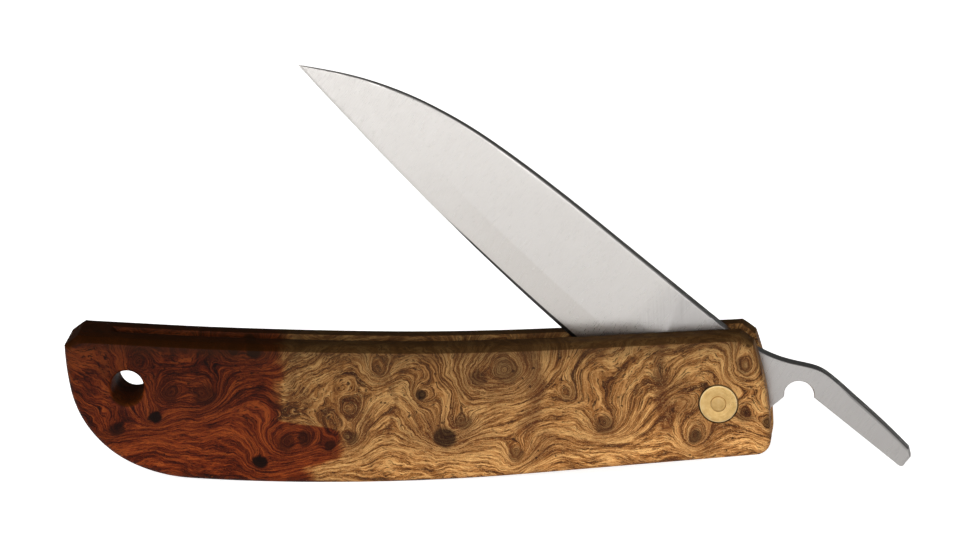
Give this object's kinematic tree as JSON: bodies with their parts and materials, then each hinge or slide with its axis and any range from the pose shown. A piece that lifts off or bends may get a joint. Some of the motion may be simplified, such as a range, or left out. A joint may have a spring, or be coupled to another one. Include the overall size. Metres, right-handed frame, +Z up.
{
  "type": "friction folding whittling knife",
  "caption": "Folding whittling knife: slotted one-piece wooden handle, flat-ground blade with a lever tang, peened pivot pin with flush collars.",
  "frame": {"origin": "centre of the lanyard hole on the handle's middle plane", "axes": "+X along the handle from the butt to the pivot end, +Y from the front side face to the back one along the pivot axis, +Z up towards the slot opening"},
  "size_m": [0.1311, 0.0126, 0.0654],
  "materials": {
    "handle_wood": "oiled burl, golden brown running to red-brown at the butt",
    "blade_steel": "flat-ground satin with fine scratches across the blade",
    "pin_brass": "peened and filed flush",
    "collar_brass": "turned, filed flush, slightly pitted",
    "washer_brass": "plain sheet"
  },
  "bodies": {
    "handle": {"handle": "handle_wood", "pivot_pin": "pin_brass", "pivot_collar_front": "collar_brass", "pivot_collar_back": "collar_brass", "washer_front": "washer_brass", "washer_back": "washer_brass"},
    "blade": {"blade": "blade_steel"}
  },
  "joints": [
    {"name": "blade_pivot", "type": "hinge", "parent": "handle", "child": "blade", "pos_m": [0.092, 0, -0.00275], "axis": [0, 1, 0], "range_deg": [-40.4, 135.3]}
  ]
}
